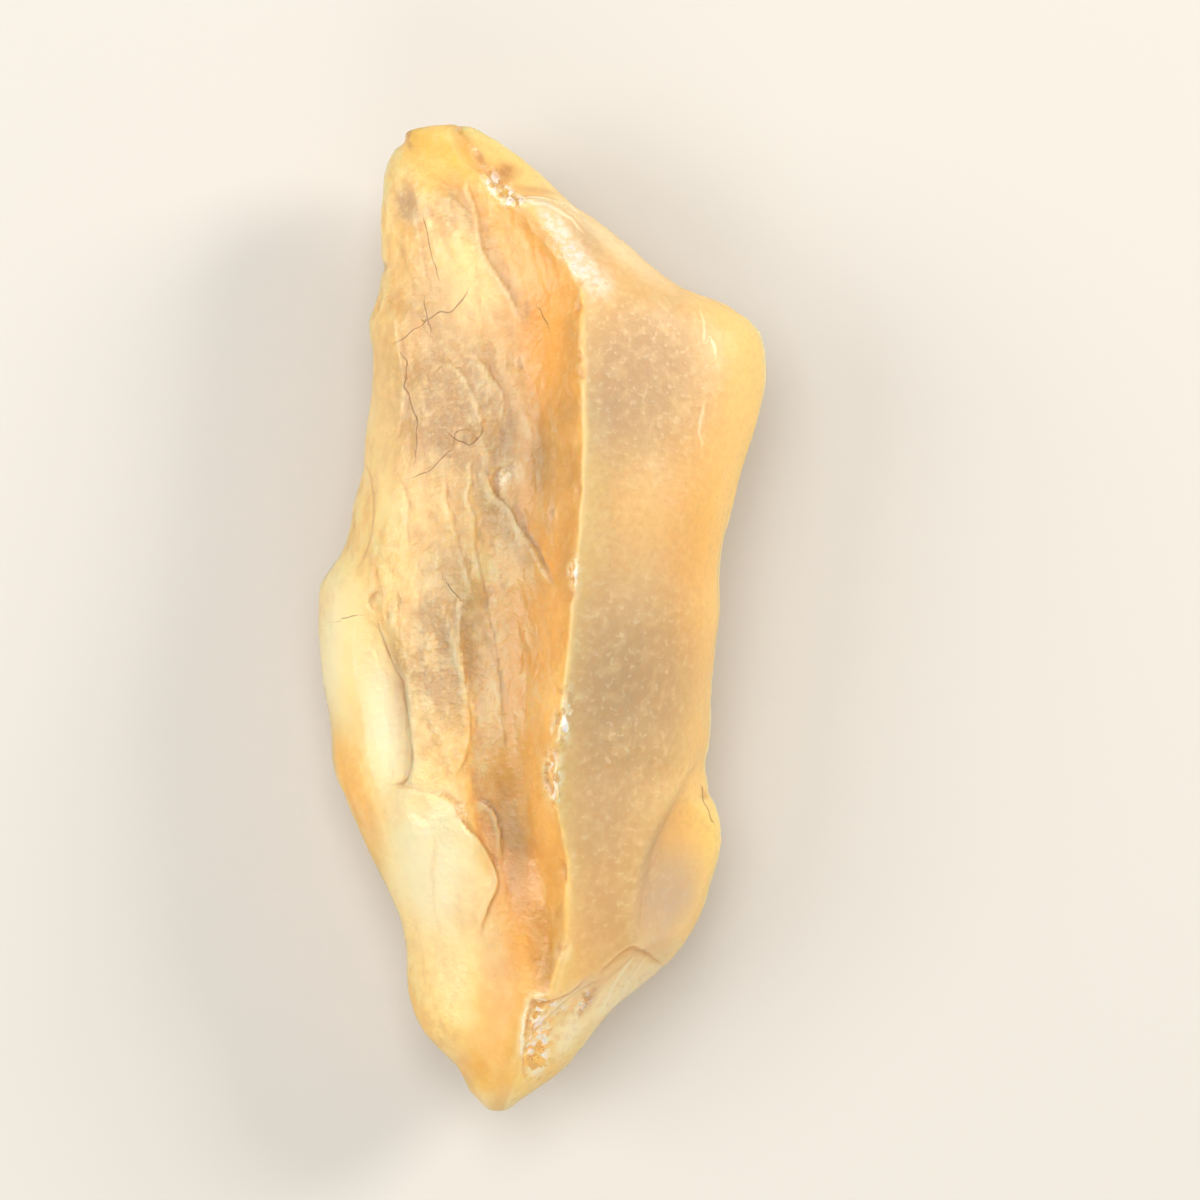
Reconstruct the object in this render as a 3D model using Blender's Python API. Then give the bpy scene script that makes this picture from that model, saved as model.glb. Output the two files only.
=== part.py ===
"""A shard of natural desert glass, lying on a small flat on its back, at its real size.

The shard is one solid. Sections across it are skinned from the broken top end to the narrow
foot, flakes are then struck off it, and it is cut level where it rests.
Lengths below are in millimetres: +X to the right of the shard's face, +Y to its top end and
+Z up out of the face. The origin is under the middle of the shard, on the surface it rests on.
"""

import math

import bmesh
import bpy
from mathutils import Matrix, Vector, noise
from mathutils.bvhtree import BVHTree

MM = 0.001
REST_LEVEL = 0.0
BEYOND_THE_SHARD = 80.0

# Stations along the shard, from its top end down to its foot: each rail is a list of
# (y, value), and a smooth curve runs through it.
LEFT_RIM_X = [
    (24.7, -6.9), (22.9, -7.8), (21.2, -8.05), (18.2, -8.0), (16.2, -8.1), (15.1, -8.5),
    (13.7, -8.3), (12.0, -8.3), (9.2, -8.8), (7.6, -8.9), (5.7, -9.35), (4.1, -9.7),
    (3.1, -10.2), (2.0, -11.0), (0.4, -11.25), (-1.4, -11.35), (-3.2, -11.15), (-5.0, -10.65),
    (-7.2, -10.4), (-9.9, -9.5), (-12.5, -8.3), (-14.4, -7.35), (-16.8, -6.9), (-19.3, -6.75),
    (-20.8, -6.1), (-21.9, -4.8), (-22.7, -4.0), (-23.8, -3.6), (-24.6, -2.9),
]
RIGHT_RIM_X = [
    (24.7, -3.1), (24.0, -2.0), (22.6, 0.0), (20.85, 2.0), (19.2, 4.05), (17.6, 6.1),
    (16.95, 7.0), (16.4, 8.5), (15.6, 10.1), (14.7, 11.0), (13.0, 11.35), (10.4, 11.05),
    (7.9, 10.4), (5.6, 9.8), (3.5, 9.2), (2.0, 9.1), (0.3, 9.25), (-1.7, 9.05),
    (-3.4, 8.75), (-5.9, 8.65), (-7.9, 8.4), (-9.0, 8.8), (-11.0, 9.25), (-13.3, 8.7),
    (-15.5, 7.95), (-17.7, 6.3), (-19.5, 4.1), (-20.6, 2.95), (-22.4, 1.6), (-23.7, 0.25),
    (-24.6, -1.1),
]
RIDGE_X = [
    (24.7, -4.1), (23.2, -3.0), (21.7, -1.6), (20.3, -0.15), (18.6, 1.0), (16.6, 2.15),
    (13.6, 2.15), (9.0, 2.3), (4.5, 2.1), (1.9, 1.8), (-1.6, 1.55), (-4.1, 1.2),
    (-7.7, 0.85), (-9.4, 1.05), (-12.0, 1.5), (-15.8, 1.4), (-17.6, 1.1), (-19.3, 0.4),
    (-20.9, -0.5), (-22.6, -0.95), (-24.6, -1.8),
]
LEFT_RIM_Z = [(24.7, 5.6), (20.0, 5.2), (12.0, 5.0), (4.0, 4.9), (-3.0, 4.6), (-12.0, 4.7),
              (-20.0, 5.0), (-24.6, 5.0)]
RIGHT_RIM_Z = [(24.7, 5.7), (20.0, 6.0), (15.0, 6.4), (8.0, 5.8), (0.0, 5.4), (-8.0, 5.0),
               (-14.0, 4.6), (-20.0, 4.8), (-24.6, 4.9)]
RIDGE_Z = [(24.7, 7.3), (22.0, 8.9), (18.6, 10.9), (15.0, 12.1), (9.0, 12.8), (2.0, 12.9),
           (-5.0, 12.5), (-10.0, 11.8), (-15.0, 10.6), (-19.0, 9.2), (-22.0, 7.8), (-24.6, 6.2)]

# The left face: a shoulder inside the rim, a plateau and its edge, and the foot of the steep
# side of the ridge. Each is (y, share of the way from the left rim to the ridge, height).
LEFT_SHOULDER = [(24.7, 0.14, 6.9), (20.0, 0.12, 7.5), (12.0, 0.11, 7.8), (4.0, 0.11, 7.9),
                 (-2.0, 0.13, 7.3), (-9.0, 0.16, 7.6), (-16.0, 0.20, 7.9), (-21.0, 0.20, 7.3),
                 (-24.6, 0.14, 5.7)]
LEFT_PLATEAU = [(24.7, 0.38, 7.3), (20.0, 0.34, 8.6), (12.0, 0.34, 9.3), (4.0, 0.36, 9.6),
                (-2.0, 0.36, 9.5), (-9.0, 0.40, 9.6), (-16.0, 0.42, 9.4), (-21.0, 0.46, 8.3),
                (-24.6, 0.42, 6.1)]
PLATEAU_EDGE = [(24.7, 0.60, 7.4), (20.0, 0.56, 8.8), (12.0, 0.56, 9.7), (4.0, 0.60, 9.9),
                (-2.0, 0.60, 9.7), (-6.0, 0.60, 9.7), (-9.0, 0.58, 9.8), (-12.0, 0.60, 9.6),
                (-16.0, 0.62, 9.2), (-21.0, 0.64, 8.2), (-24.6, 0.60, 6.1)]
RIDGE_FOOT = [(24.7, 0.78, 7.3), (20.0, 0.74, 8.8), (12.0, 0.74, 9.5), (4.0, 0.77, 9.5),
              (-2.0, 0.80, 9.2), (-6.0, 0.80, 8.9), (-12.0, 0.80, 8.5), (-16.0, 0.80, 8.7),
              (-21.0, 0.82, 8.0), (-24.6, 0.77, 6.1)]

# The right face: its middle, and the shoulder inside the right rim, as shares of the way from
# the ridge to the right rim.
RIGHT_MIDDLE = [(24.7, 0.45, 7.0), (20.0, 0.45, 9.6), (14.0, 0.45, 11.2), (6.0, 0.45, 11.9),
                (-4.0, 0.45, 11.5), (-12.0, 0.45, 10.1), (-18.0, 0.45, 8.3), (-24.6, 0.45, 5.9)]
RIGHT_SHOULDER = [(24.7, 0.84, 6.5), (20.0, 0.84, 7.9), (14.0, 0.84, 9.3), (6.0, 0.86, 9.5),
                  (-4.0, 0.86, 8.9), (-12.0, 0.84, 7.3), (-18.0, 0.84, 6.4), (-24.6, 0.84, 5.4)]

# The back, as shares of the way from the left rim to the right rim.
BACK_RIGHT = [(24.7, 0.84, 4.7), (20.0, 0.88, 4.0), (12.0, 0.88, 3.9), (2.0, 0.90, 3.1),
              (-8.0, 0.90, 2.7), (-16.0, 0.88, 2.8), (-21.0, 0.86, 3.8), (-24.6, 0.84, 4.2)]
BACK_FLAT_RIGHT = [(24.7, 0.62, 4.2), (20.0, 0.64, 2.3), (13.0, 0.64, 0.6), (7.0, 0.66, -0.5),
                   (-7.0, 0.66, -0.5), (-13.0, 0.64, 0.4), (-20.0, 0.62, 2.3), (-24.6, 0.62, 3.9)]
BACK_FLAT_LEFT = [(24.7, 0.36, 4.2), (20.0, 0.34, 2.6), (13.0, 0.32, 0.9), (7.0, 0.32, -0.4),
                  (-7.0, 0.30, -0.4), (-13.0, 0.32, 0.6), (-20.0, 0.36, 2.6), (-24.6, 0.38, 3.9)]
BACK_LEFT = [(24.7, 0.16, 4.6), (20.0, 0.11, 3.7), (12.0, 0.10, 3.2), (2.0, 0.10, 2.8),
             (-8.0, 0.10, 2.6), (-16.0, 0.12, 3.2), (-21.0, 0.14, 4.0), (-24.6, 0.16, 4.3)]

# How many points a section has between one rail and the next, starting at the ridge and going
# round by the right rim, the back and the left rim.
POINTS_BETWEEN_RAILS = [5, 4, 3, 3, 3, 5, 3, 3, 3, 3, 3, 3, 4]
SECTION_COUNT = 68
END_CAPS = [(0.90, 0.14), (0.66, 0.28), (0.34, 0.36)]

# Slow swells that the wind has left, as (height, length across, length along) in mm.
SWELLS = [(0.22, 4.2, 6.5), (0.10, 1.9, 3.4)]

# Flakes struck off the face and the back. Each hollow is given as (name, x, y, length, width,
# depth, heading, lean): heading turns its length clockwise from +Y, seen from the face, and lean
# turns its floor about that length, with the right side cut deeper where it is positive.
FACE_SCARS = [
    ("leaf_scar", -7.8, -3.7, 10.6, 4.2, 0.65, -9, 14),
    ("valley_scar", -2.0, -11.5, 10.5, 3.0, 0.50, -15, -12),
    ("corner_facet", -6.8, 20.9, 3.2, 2.2, 0.25, -10, 8),
    ("top_chip", -0.3, 22.3, 7.2, 3.0, 0.40, -56, 10),
    ("gleam_bevel", 1.3, 18.9, 6.0, 1.6, 0.20, -38, 0),
    ("low_right_facet", 7.6, -12.3, 14.0, 7.4, 0.80, 19, 10),
    ("foot_plate", 4.6, -18.4, 8.4, 3.4, 0.50, 50, 6),
    ("foot_chip", 0.9, -20.7, 7.0, 2.7, 0.65, 32, 8),
]
BACK_SCARS = [
    ("back_left_scoop", -6.6, -4.5, 21.0, 9.5, 1.10, -8, 0),
    ("back_right_scoop", 6.4, 4.6, 25.0, 9.5, 1.10, -5, 0),
    ("back_top_scoop", -2.6, 17.0, 16.0, 11.0, 1.20, 26, 0),
    ("back_foot_scoop", -0.2, -17.2, 14.0, 9.0, 1.00, -14, 0),
    ("back_low_scar", 6.2, -10.6, 9.5, 6.0, 0.70, 24, 0),
]
# A hollow is the end of an ellipsoid that reaches this many times deeper than the hollow.
BOWL_DEPTHS = 3.0
SCAR_SEGMENTS = 26
SCAR_RINGS = 16
SHORTEST_STEP = 0.05

GLASS_COLOUR = (0.90, 0.70, 0.40, 1.0)
GLASS_ROUGHNESS = 0.42
GLASS_INDEX = 1.46


def curve_through(points):
    """A function of the first number, smooth through every point, giving the others."""
    points = sorted(points)
    places = [point[0] for point in points]
    values = [Vector(point[1:]) if len(point) > 2 else point[1] for point in points]
    steps = [b - a for a, b in zip(places, places[1:])]
    slopes = [(b - a) / step for a, b, step in zip(values, values[1:], steps)]
    tangents = [slopes[0]]
    for i in range(1, len(slopes)):
        before, after = steps[i - 1], steps[i]
        tangents.append((slopes[i - 1] * after + slopes[i] * before) / (before + after))
    tangents.append(slopes[-1])

    def at(place):
        place = min(max(place, places[0]), places[-1])
        i = max(k for k in range(len(steps)) if place >= places[k])
        step = steps[i]
        t = (place - places[i]) / step
        return (
            values[i] * (2 * t**3 - 3 * t**2 + 1)
            + tangents[i] * step * (t**3 - 2 * t**2 + t)
            + values[i + 1] * (3 * t**2 - 2 * t**3)
            + tangents[i + 1] * step * (t**3 - t**2)
        )

    return at


def section_rails():
    """Functions of y for every rail of a section: the corners that its outline passes through."""
    left_x, right_x, ridge_x = (curve_through(r) for r in (LEFT_RIM_X, RIGHT_RIM_X, RIDGE_X))
    left_z, right_z, ridge_z = (curve_through(r) for r in (LEFT_RIM_Z, RIGHT_RIM_Z, RIDGE_Z))

    def between(start_x, end_x, rail):
        share_and_height = curve_through(rail)

        def at(y):
            share, height = share_and_height(y)
            return Vector((start_x(y) + share * (end_x(y) - start_x(y)), height))

        return at

    def upright(x, z):
        return lambda y: Vector((x(y), z(y)))

    ridge = upright(ridge_x, ridge_z)
    return [
        ridge,
        between(ridge_x, right_x, RIGHT_MIDDLE),
        between(ridge_x, right_x, RIGHT_SHOULDER),
        upright(right_x, right_z),
        between(left_x, right_x, BACK_RIGHT),
        between(left_x, right_x, BACK_FLAT_RIGHT),
        between(left_x, right_x, BACK_FLAT_LEFT),
        between(left_x, right_x, BACK_LEFT),
        upright(left_x, left_z),
        between(left_x, ridge_x, LEFT_SHOULDER),
        between(left_x, ridge_x, LEFT_PLATEAU),
        between(left_x, ridge_x, PLATEAU_EDGE),
        between(left_x, ridge_x, RIDGE_FOOT),
        ridge,
    ]


def section(rails, y):
    """The closed outline of the shard at y, as points in mm. It has one sharp corner, the ridge."""
    corners = [rail(y) for rail in rails]
    lengths = [0.0]
    for a, b in zip(corners, corners[1:]):
        lengths.append(lengths[-1] + max((b - a).length, SHORTEST_STEP))
    outline = curve_through([(length, *corner) for length, corner in zip(lengths, corners)])
    points = []
    for i, count in enumerate(POINTS_BETWEEN_RAILS):
        for k in range(count):
            x, z = outline(lengths[i] + (lengths[i + 1] - lengths[i]) * k / count)
            points.append(Vector((x, y, z)))
    return points


def end_cap(ring, way):
    """Smaller rings that round the shard's end off. way is 1 at the top end and -1 at the foot."""
    middle = sum(ring, Vector()) / len(ring)
    return [
        [middle + (point - middle) * share + Vector((0, way * rise, 0)) for point in ring]
        for share, rise in END_CAPS
    ]


def swell(point):
    """How far the worn surface stands proud of the plain form at a point, in mm."""
    height = 0.0
    for size, across, along in SWELLS:
        height += size * noise.noise(Vector((point.x / across, point.y / along, point.z / across)))
    return height


def skin_of_sections():
    """A bmesh of the whole body, skinned over its sections from top to foot."""
    rails = section_rails()
    top, foot = LEFT_RIM_X[0][0], LEFT_RIM_X[-1][0]
    stations = [top + (foot - top) * i / (SECTION_COUNT - 1) for i in range(SECTION_COUNT)]
    rings = [section(rails, y) for y in stations]
    rings = end_cap(rings[0], 1)[::-1] + rings + end_cap(rings[-1], -1)
    bm = bmesh.new()
    loops = []
    for ring in rings:
        verts = [bm.verts.new(point) for point in ring]
        loops.append([bm.edges.new(pair) for pair in zip(verts, verts[1:] + verts[:1])])
    for upper, lower in zip(loops, loops[1:]):
        bmesh.ops.bridge_loops(bm, edges=upper + lower)
    for loop in (loops[0], loops[-1]):
        bmesh.ops.contextual_create(bm, geom=loop)
    bmesh.ops.triangulate(bm, faces=bm.faces)
    bmesh.ops.recalc_face_normals(bm, faces=bm.faces)
    return bm


def wear(bm):
    """Moves the surface along its normals by the wind's swells, then centres it over the origin."""
    bm.normal_update()
    moves = [(vert, vert.normal * swell(vert.co)) for vert in bm.verts]
    for vert, move in moves:
        vert.co += move
    for axis in range(2):
        reach = [vert.co[axis] for vert in bm.verts]
        middle = (min(reach) + max(reach)) / 2
        for vert in bm.verts:
            vert.co[axis] -= middle


def glass_material():
    material = bpy.data.materials.new("desert_glass")
    material.use_nodes = True
    shader = material.node_tree.nodes["Principled BSDF"]
    shader.inputs["Base Color"].default_value = GLASS_COLOUR
    shader.inputs["Roughness"].default_value = GLASS_ROUGHNESS
    shader.inputs["IOR"].default_value = GLASS_INDEX
    shader.inputs["Metallic"].default_value = 0.0
    return material


def add_object(name, bm):
    """An object in the scene with this bmesh as its mesh, turned from millimetres to metres."""
    bmesh.ops.scale(bm, vec=(MM, MM, MM), verts=bm.verts)
    mesh = bpy.data.meshes.new(name)
    bm.to_mesh(mesh)
    bm.free()
    obj = bpy.data.objects.new(name, mesh)
    bpy.context.scene.collection.objects.link(obj)
    return obj


def surface_under(tree, side, x, y):
    """The point of the surface and its normal above (side 1) or below (side -1) x and y."""
    upright = Vector((0, 0, side))
    start = upright * BEYOND_THE_SHARD + Vector((x, y, 0))
    place, normal, _, _ = tree.ray_cast(start, -upright)
    return place, normal


def scar_cutter(tree, side, name, x, y, length, width, depth, heading, lean):
    """A hidden ellipsoid that leaves the hollow of a struck flake where it dips into the shard.

    It dips in along the mean normal of the surface around the hollow's middle.
    """
    place, normal = surface_under(tree, side, x, y)
    for dx, dy in ((width, 0), (-width, 0), (0, length), (0, -length)):
        near_place, near_normal = surface_under(tree, side, x + dx / 3, y + dy / 3)
        normal = normal + (near_normal if near_place else Vector())
    normal.normalize()
    reach = BOWL_DEPTHS * depth
    spread = math.sqrt(1 - (1 - depth / reach) ** 2)
    half_sizes = (width / 2 / spread, length / 2 / spread, reach)
    angle = math.radians(heading)
    along = Vector((math.sin(angle), math.cos(angle), 0))
    along = (along - normal * along.dot(normal)).normalized()
    across = along.cross(normal)
    frame = Matrix((across, along, normal)).transposed()
    frame = frame @ Matrix.Rotation(math.radians(-lean), 3, "Y")
    bm = bmesh.new()
    bmesh.ops.create_uvsphere(bm, u_segments=SCAR_SEGMENTS, v_segments=SCAR_RINGS, radius=1.0)
    bmesh.ops.scale(bm, vec=half_sizes, verts=bm.verts)
    bmesh.ops.rotate(bm, cent=(0, 0, 0), matrix=frame, verts=bm.verts)
    bmesh.ops.translate(bm, vec=place + normal * (reach - depth), verts=bm.verts)
    cutter = add_object(name, bm)
    cutter.hide_render = True
    cutter.display_type = "WIRE"
    return cutter


def strike_flakes(shard, tree):
    for side, scars in ((1, FACE_SCARS), (-1, BACK_SCARS)):
        for scar in scars:
            cut = shard.modifiers.new(scar[0], "BOOLEAN")
            cut.operation = "DIFFERENCE"
            cut.object = scar_cutter(tree, side, *scar)


def rest_cutter():
    """A hidden block under the rest level, which cuts the small flat that the shard lies on."""
    bm = bmesh.new()
    bmesh.ops.create_cube(bm, size=BEYOND_THE_SHARD)
    bmesh.ops.translate(bm, vec=(0, 0, REST_LEVEL - BEYOND_THE_SHARD / 2), verts=bm.verts)
    cutter = add_object("rest_cutter", bm)
    cutter.hide_render = True
    cutter.display_type = "WIRE"
    return cutter


def main():
    for obj in list(bpy.data.objects):
        bpy.data.objects.remove(obj)
    bm = skin_of_sections()
    wear(bm)
    tree = BVHTree.FromBMesh(bm)
    shard = add_object("glass_shard", bm)
    shard.data.materials.append(glass_material())
    strike_flakes(shard, tree)
    level = shard.modifiers.new("rest_flat", "BOOLEAN")
    level.operation = "DIFFERENCE"
    level.object = rest_cutter()
    shard.data.shade_smooth()


main()
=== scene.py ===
import math

import bmesh
import bpy
import numpy as np
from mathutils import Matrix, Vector, noise
from mathutils.bvhtree import BVHTree


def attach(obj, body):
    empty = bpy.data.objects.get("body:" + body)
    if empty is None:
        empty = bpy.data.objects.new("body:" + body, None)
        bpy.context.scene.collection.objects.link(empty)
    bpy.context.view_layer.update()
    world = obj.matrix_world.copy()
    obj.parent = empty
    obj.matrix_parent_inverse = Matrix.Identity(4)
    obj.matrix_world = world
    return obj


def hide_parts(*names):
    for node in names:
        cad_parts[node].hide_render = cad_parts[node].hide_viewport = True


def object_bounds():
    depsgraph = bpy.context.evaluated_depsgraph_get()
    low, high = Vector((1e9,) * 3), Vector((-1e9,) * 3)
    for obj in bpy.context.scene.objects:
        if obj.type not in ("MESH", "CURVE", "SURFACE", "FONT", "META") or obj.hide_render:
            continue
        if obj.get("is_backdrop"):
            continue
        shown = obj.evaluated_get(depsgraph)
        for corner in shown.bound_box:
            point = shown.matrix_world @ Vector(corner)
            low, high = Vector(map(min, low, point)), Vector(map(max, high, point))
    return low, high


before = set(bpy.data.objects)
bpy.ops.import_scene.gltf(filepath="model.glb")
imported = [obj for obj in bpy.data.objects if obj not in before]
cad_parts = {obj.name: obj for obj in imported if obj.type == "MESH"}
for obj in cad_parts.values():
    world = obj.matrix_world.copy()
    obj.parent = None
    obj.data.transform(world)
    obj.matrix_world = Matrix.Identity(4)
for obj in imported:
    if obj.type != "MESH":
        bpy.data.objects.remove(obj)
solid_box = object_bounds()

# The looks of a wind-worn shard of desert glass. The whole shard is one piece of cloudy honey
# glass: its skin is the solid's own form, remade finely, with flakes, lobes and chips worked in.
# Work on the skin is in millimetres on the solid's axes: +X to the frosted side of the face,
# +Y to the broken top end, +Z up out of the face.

MM = 0.001

# The fine skin: the side of its cells in mm, and how many times it is smoothed.
SKIN_CELL = 0.178
SKIN_SMOOTHING = 2
SMOOTHING_SHARE = 0.5

# How each mask fades: the face by how far it looks up, its two sides and the skin over the
# resting flat by distances in mm.
FACE_LOOKS_UP = (-0.1, 0.35)
RIDGE_FADE = (-0.05, 0.25)
REST_FADE = (0.0, 0.6)

# The ridge that parts the frosted right face from the flaky left face, as (x, y).
RIDGE = [
    (-4.1, 25.0), (-1.6, 21.7), (1.0, 18.6), (2.15, 16.6), (2.15, 13.6), (2.3, 9.0),
    (2.1, 4.5), (1.8, 1.9), (1.55, -1.6), (1.2, -4.1), (0.85, -7.7), (1.05, -9.4),
    (1.5, -12.0), (1.4, -15.8), (0.4, -19.3), (-0.95, -22.6), (-1.8, -25.0),
]

# Ledges on the face, as (height, width of the riser, how far the high side takes to fall away,
# points). The high side is on the left of the way that the points run.
LEDGES = {
    "lobe_edge": (0.34, 0.20, 3.0, [(-3.0, -15.8), (-2.6, -14.3), (-2.2, -13.2), (-2.4, -12.3),
                                    (-3.1, -11.2), (-3.8, -10.3), (-4.3, -9.2), (-5.1, -8.4)]),
    "brown_lobe": (0.20, 0.20, 1.6, [(-1.9, -11.9), (-2.0, -10.6), (-2.4, -9.5), (-3.2, -9.0)]),
    "leaf_edge": (0.24, 0.20, 2.4, [(-8.7, 0.1), (-7.9, -0.6), (-7.1, -2.4), (-6.6, -3.4),
                                    (-6.3, -5.7), (-6.2, -7.2), (-6.5, -8.2), (-7.1, -8.4),
                                    (-7.9, -8.3)]),
    "high_plateau": (0.16, 0.25, 2.6, [(-0.7, 14.4), (-1.4, 16.1), (-2.0, 17.1), (-2.8, 18.4),
                                       (-3.1, 20.2), (-3.8, 22.4)]),
    "plateau_step": (0.12, 0.20, 2.0, [(-2.6, 9.3), (-3.0, 10.6), (-3.5, 11.8), (-4.8, 13.2)]),
    "plateau_lip": (0.14, 0.20, 2.0, [(-1.6, 9.6), (-1.8, 11.2), (-2.5, 12.3), (-3.2, 13.3)]),
    "trough_lip": (0.20, 0.25, 2.4, [(0.9, 1.4), (-0.2, 3.5), (-1.0, 4.6), (-1.5, 5.5),
                                     (-2.2, 6.2), (-2.6, 7.1), (-3.1, 7.9)]),
    "lobe_crease": (0.10, 0.40, 1.4, [(-4.7, -19.0), (-4.9, -15.8), (-5.3, -12.7), (-5.2, -10.8),
                                      (-6.2, -9.6), (-7.0, -9.0)]),
    "lobe_top": (0.11, 0.20, 1.2, [(-3.6, -9.4), (-4.6, -9.0), (-6.0, -8.5), (-7.2, -8.6)]),
    "rim_band": (0.16, 0.20, 2.2, [(-8.9, 8.2), (-8.4, 7.0), (-8.3, 5.0), (-8.6, 3.5),
                                   (-9.2, 2.4)]),
    "flow_one": (0.10, 0.18, 1.8, [(-3.2, 0.8), (-3.6, 2.5), (-4.1, 4.0), (-4.3, 5.1),
                                   (-4.6, 6.1), (-4.7, 7.8)]),
    "flow_two": (0.11, 0.18, 1.6, [(-2.6, 0.6), (-3.1, 3.0), (-3.2, 4.9), (-3.5, 6.0),
                                   (-3.3, 7.2), (-3.4, 8.6)]),
    "flow_three": (0.10, 0.18, 1.8, [(-6.4, 3.4), (-6.5, 4.6), (-6.5, 6.0), (-7.0, 7.1)]),
    "long_fold": (0.14, 0.20, 2.2, [(-4.7, -8.3), (-4.0, -7.5), (-3.5, -6.0), (-3.6, -4.1),
                                    (-3.9, -1.1), (-3.9, 1.1)]),
    "inner_fold": (0.10, 0.18, 1.6, [(-1.6, -7.0), (-1.9, -4.6), (-2.1, -2.0), (-2.6, 0.4)]),
    "shoulder_fold": (0.11, 0.20, 2.0, [(-7.1, 9.2), (-6.6, 11.2), (-6.9, 13.4), (-7.2, 15.8)]),
    "tip_fold": (0.10, 0.20, 2.0, [(-5.4, 16.2), (-5.9, 18.8), (-6.1, 21.2)]),
    "low_right_arris": (0.34, 0.9, 3.2, [(4.7, -16.3), (4.9, -14.3), (5.2, -12.7), (5.6, -11.2),
                                         (6.3, -9.7), (7.1, -8.2), (8.4, -6.1)]),
    "plate_edge": (0.16, 0.25, 1.6, [(2.8, -17.8), (4.3, -16.5), (5.1, -16.6), (6.4, -17.6)]),
    "foot_chip_edge": (0.24, 0.20, 1.6, [(-0.5, -23.6), (-0.95, -22.4), (-0.45, -19.4),
                                         (0.5, -19.0), (1.5, -18.6), (2.5, -17.8)]),
    "top_chip_edge": (0.20, 0.20, 1.4, [(2.4, 19.9), (1.0, 20.8), (-1.3, 20.9), (-2.3, 21.6),
                                        (-2.9, 22.9)]),
    "top_flow": (0.10, 0.20, 1.0, [(2.6, 19.5), (1.6, 20.5), (0.2, 21.1), (-1.2, 21.1)]),
}

# How near its ends a ledge and a thin line fade out, as shares of their lengths.
LEDGE_TAIL = 0.18
LINE_TAIL = 0.16

# The ridge's left flank: its width, how hollow its curve is, and where along the shard it
# starts and is whole, at its foot and at its top. It is weaker low down.
FLANK_WIDTH = 4.4
FLANK_HOLLOW = 1.7
FLANK_FOOT = (-22.0, -16.0)
FLANK_TOP = (21.0, 17.0)
FLANK_GROWS = (-12.0, -4.0)
FLANK_LEAST = 0.45
FLANK_EDGE = (-0.4, 1.0)
FLANK_EVENED = (-0.9, -2.0)
FLANK_ROUNDS = 40

# Heights are read in rows along the shard, in bands of these half widths.
ROW = 0.4
CREST_BAND = 0.12
PLATEAU_BAND = 0.3

# The face's flow lines lean from +Y by this many degrees. Flakes lie on the left face, as
# (shift of the noise, lean, size, length, height).
FLOW_LEAN = 16
FLAKES = {
    "large": (0.0, FLOW_LEAN, 2.2, 9.0, 0.08),
    "small": (7.3, 22, 1.0, 4.5, 0.04),
}

# The left face is flaky from its tip down to where the smooth lobes start. Ledges fade out
# toward the left rim, which lies this far from the ridge at most.
FLAKY_TIP = (23.8, 21.5)
LOBES_START = (-6.5, -9.5)
LEFT_RIM = -11.2
LEFT_RIM_FADE = (0.2, 2.2)

# Fine relief, as (height, size or sizes of its lumps), all in mm.
FLOW_RELIEF = (0.05, (0.9, 1.8, 1.0))
FLAKY_ROUGHNESS = (0.02, 0.5)
LOBE_RELIEF = (0.20, (1.9, 3.4, 2.2))
SPARKLY_RELIEF = (0.10, 0.6)
RIGHT_RELIEF = (0.05, (2.8, 3.6, 3.0))
RIGHT_ROUGHNESS = (0.022, 0.55)
RIDGE_NIBBLES = (0.30, (0.9, 0.75, 0.9))
BACK_RELIEF = (0.22, (3.2, 4.6, 3.2))
BACK_HOLLOWS = (0.16, (1.5, 1.9, 1.5))
BACK_ROUGHNESS = (0.035, (0.7, 1.6, 0.8))

# Sizes of the lumps in the noises that colour the glass, in mm.
CLOUD_SIZE = 2.9
MOTTLE_SIZE = 0.5
STREAK_SIZES = (0.7, 2.2, 1.0)

# Small chips off the face, as (x, y, half width, half length, heading in degrees, depth).
CHIPS = {
    "arrow_chip": (-1.9, 7.0, 0.45, 0.75, 30, 0.18),
    "arrow_chip_wing": (-1.2, 7.3, 0.30, 0.55, -25, 0.12),
    "flank_chip": (0.75, 5.2, 0.22, 0.35, 0, 0.12),
    "sparkle": (-0.9, 12.8, 0.20, 0.40, -10, 0.12),
    "dot": (-0.65, 7.9, 0.12, 0.16, 0, 0.10),
    "waist_chip": (-8.2, 0.9, 0.42, 0.55, 20, 0.14),
    "waist_chip_low": (-7.4, 0.5, 0.30, 0.60, 10, 0.12),
    "fold_chip": (-4.1, 0.6, 0.22, 0.80, 12, 0.12),
    "ridge_bite_high": (1.75, 2.3, 0.30, 0.50, 0, 0.14),
    "ridge_bite": (1.10, -5.1, 0.35, 0.90, 12, 0.14),
    "ridge_bite_low": (0.70, -7.9, 0.40, 0.90, -8, 0.18),
    "ridge_bite_foot": (1.25, -16.4, 0.35, 0.60, 0, 0.12),
}

# Nicks in the shard's outline, as (x, y, radius, depth).
EDGE_NICKS = {
    "tip_nick": (-7.1, 24.2, 0.35, 0.22),
    "tip_middle_nick": (-4.0, 24.7, 0.25, 0.14),
    "left_notch": (-7.95, 17.8, 0.35, 0.20),
    "right_notch": (8.5, -8.9, 0.45, 0.18),
    "shoulder_notch": (7.0, 16.3, 0.50, 0.14),
}

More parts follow.
